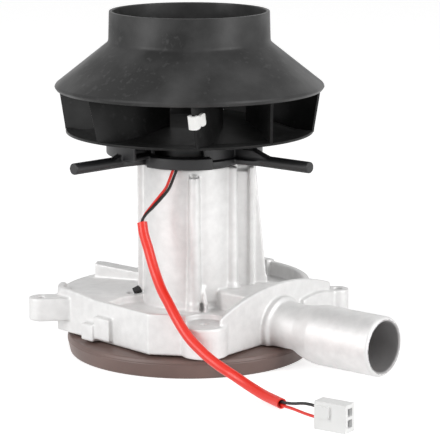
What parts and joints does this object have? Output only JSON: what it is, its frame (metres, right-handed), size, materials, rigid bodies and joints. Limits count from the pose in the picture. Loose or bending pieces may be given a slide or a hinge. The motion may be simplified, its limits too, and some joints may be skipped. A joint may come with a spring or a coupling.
{
  "type": "dc blower fan",
  "caption": "Double-ended blower: a black hot-air impeller above a cast motor tower, with an intake spigot and a side-channel air wheel below.",
  "frame": {"origin": "centre of the circle on which the lower wheel's bottom rim stands, on the rotor's axis", "axes": "+Z along the rotor's axis towards the impeller's inlet; the intake spigot points 40 degrees to the right of +X, towards -Y, and the lead leaves at -Y"},
  "size_m": [0.1545, 0.1854, 0.1447],
  "materials": {
    "cast_aluminium": "matte as-cast",
    "black_plastic": "satin",
    "cap_plastic": "satin",
    "brown_resin": "smooth moulded",
    "rubber": "matte",
    "steel": "ground",
    "can_steel": "zinc plated",
    "ferrite": "matte",
    "laminations": "stacked sheet",
    "copper": "enamelled copper",
    "carbon": "pressed graphite",
    "brass": "turned",
    "white_nylon": "moulded",
    "tinned_steel": "tin plated",
    "red_insulation": "extruded",
    "black_insulation": "extruded",
    "red_sleeve": "extruded"
  },
  "bodies": {
    "housing": {"blower_housing": "cast_aluminium", "motor_tower": "cast_aluminium", "drain_plug": "rubber", "shaft_seal": "rubber", "motor_screws": "steel", "motor_can": "can_steel", "field_magnets": "ferrite", "lower_bearing": "steel", "upper_bearing": "steel", "end_bell": "cap_plastic", "brushes": "carbon", "brush_springs": "copper", "motor_terminals": "brass", "arm_cap": "cap_plastic", "red_wire": "red_insulation", "black_wire": "black_insulation", "lead_sleeve": "red_sleeve", "connector_housing": "white_nylon", "crimp_contacts": "tinned_steel"},
    "rotor": {"motor_shaft": "steel", "shaft_spacers": "steel", "armature_core": "laminations", "armature_windings": "copper", "commutator": "copper", "impeller_backplate": "black_plastic", "impeller_blades": "black_plastic", "impeller_shroud": "black_plastic", "impeller_insert": "brass", "impeller_washer": "steel", "impeller_nut": "steel", "balance_clip": "white_nylon", "combustion_wheel": "brown_resin", "wheel_insert": "brass", "wheel_washer": "steel", "wheel_nut": "steel"}
  },
  "joints": [
    {"name": "rotor_spin", "type": "hinge", "parent": "housing", "child": "rotor", "pos_m": [0, 0, 0], "axis": [0, 0, 1], "continuous": true}
  ]
}
